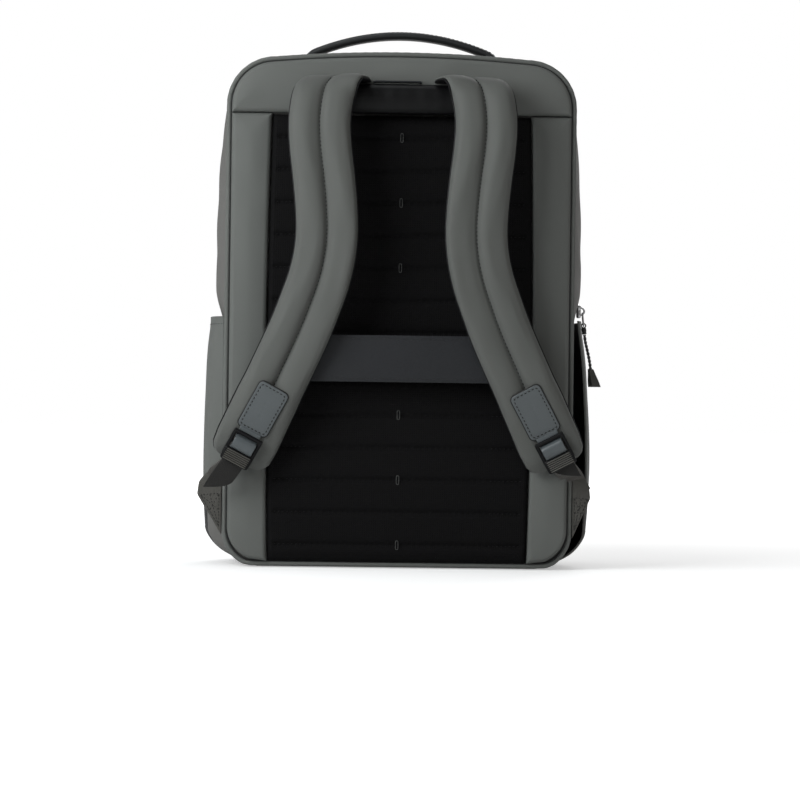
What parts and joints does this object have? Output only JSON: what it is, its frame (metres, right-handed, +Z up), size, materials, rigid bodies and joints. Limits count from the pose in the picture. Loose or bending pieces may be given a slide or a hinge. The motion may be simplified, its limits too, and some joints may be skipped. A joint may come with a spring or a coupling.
{
  "type": "laptop backpack",
  "caption": "Padded laptop backpack with shoulder straps, a top handle, side pockets, a wrap-round zip and a band that slides over a trolley handle.",
  "frame": {"origin": "middle of the bag's flat base", "axes": "+Z up along the bag's height, +Y out of the bag's front and away from the wearer, +X to the right as the straps are looked at"},
  "size_m": [0.3492, 0.205, 0.4696],
  "materials": {
    "grey_fabric": "matte",
    "black_mesh": "matte",
    "zip_tape": "matte",
    "plaited_cord": "matte",
    "webbing": "matte",
    "dark_leather": "satin",
    "patch_leather": "satin",
    "band_leather": "satin",
    "black_plastic": "satin",
    "silver_metal": "polished"
  },
  "bodies": {
    "root": {"main_body": "grey_fabric", "zipper_tape": "zip_tape", "zip_slider": "silver_metal", "pull_link": "silver_metal", "pull_cap": "dark_leather", "pull_cord": "plaited_cord", "pull_tag": "dark_leather", "back_piping": "grey_fabric", "back_top_pad": "grey_fabric", "back_side_pad_left": "grey_fabric", "back_side_pad_right": "grey_fabric", "back_mesh_panel": "black_mesh", "yoke_pad": "black_mesh", "hang_loop": "band_leather", "trolley_band": "band_leather", "top_handle": "dark_leather", "strap_pad_left": "grey_fabric", "strap_pad_right": "grey_fabric", "strap_backing_left": "black_mesh", "strap_backing_right": "black_mesh", "strap_patch_left": "patch_leather", "strap_patch_right": "patch_leather", "buckle_keeper_left": "band_leather", "buckle_keeper_right": "band_leather", "ladder_buckle_left": "black_plastic", "ladder_buckle_right": "black_plastic", "strap_webbing_left": "webbing", "strap_webbing_right": "webbing", "anchor_tab_left": "grey_fabric", "anchor_tab_right": "grey_fabric", "pocket_panel_left": "grey_fabric", "pocket_panel_right": "grey_fabric", "pocket_base_left": "black_mesh", "pocket_base_right": "black_mesh", "pocket_lining_right": "black_mesh"}
  },
  "joints": []
}
